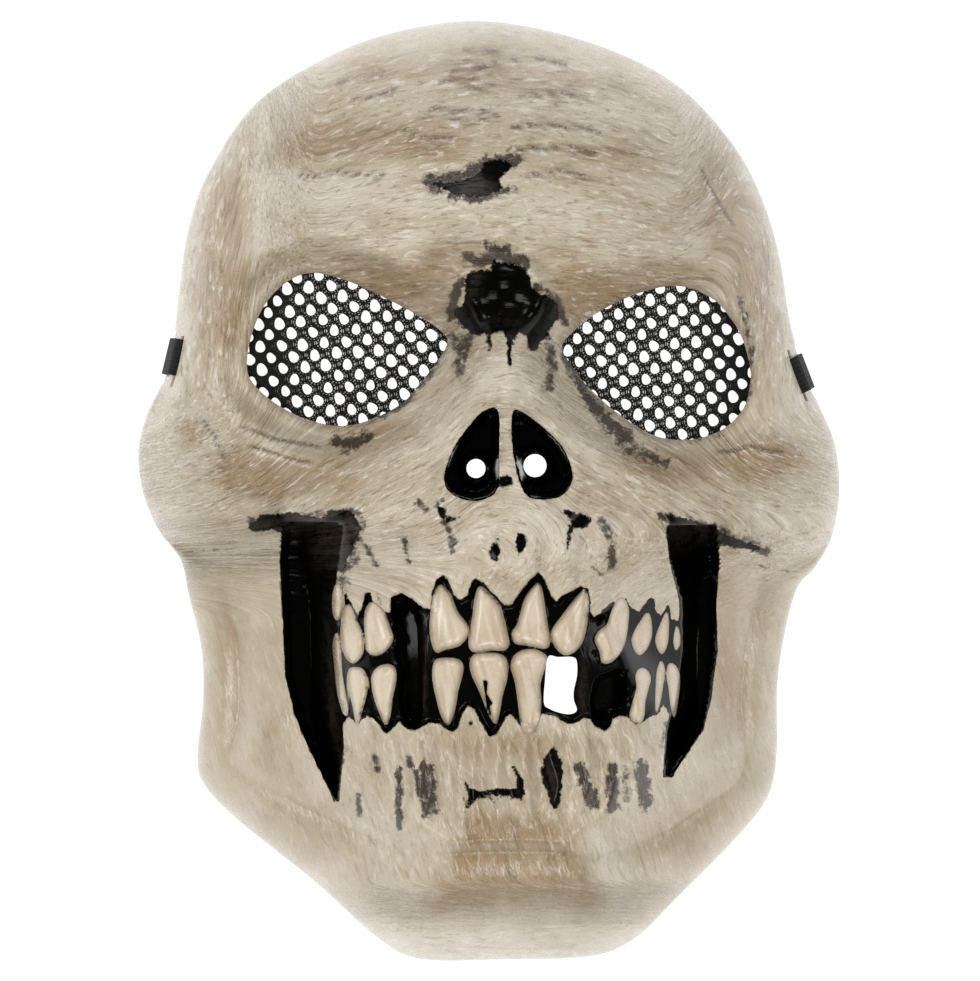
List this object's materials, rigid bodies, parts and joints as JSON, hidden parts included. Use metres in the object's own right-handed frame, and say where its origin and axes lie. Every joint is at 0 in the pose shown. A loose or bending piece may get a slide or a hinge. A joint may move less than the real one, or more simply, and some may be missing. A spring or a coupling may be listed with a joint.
{
  "type": "skull mask",
  "caption": "Rigid moulded plastic skull face mask with netted eye openings, sunken cheeks, bared teeth and a black elastic head strap, lying face up on its rim.",
  "frame": {"origin": "middle of the bounding box of the mask without its strap, on the plane of the rim", "axes": "+Z out of the face, away from the wearer; +Y from the chin to the crown; +X to the wearer's left"},
  "size_m": [0.1946, 0.2604, 0.0947],
  "materials": {
    "bone_plastic": "glossy moulded plastic, painted bone white with brown staining and black shadows",
    "net_right": "black knitted polyester net",
    "net_left": "black knitted polyester net",
    "strap_elastic": "black woven elastic"
  },
  "bodies": {
    "root": {"mask_shell": "bone_plastic", "eye_net_right": "net_right", "eye_net_left": "net_left", "elastic_strap": "strap_elastic"}
  },
  "joints": []
}
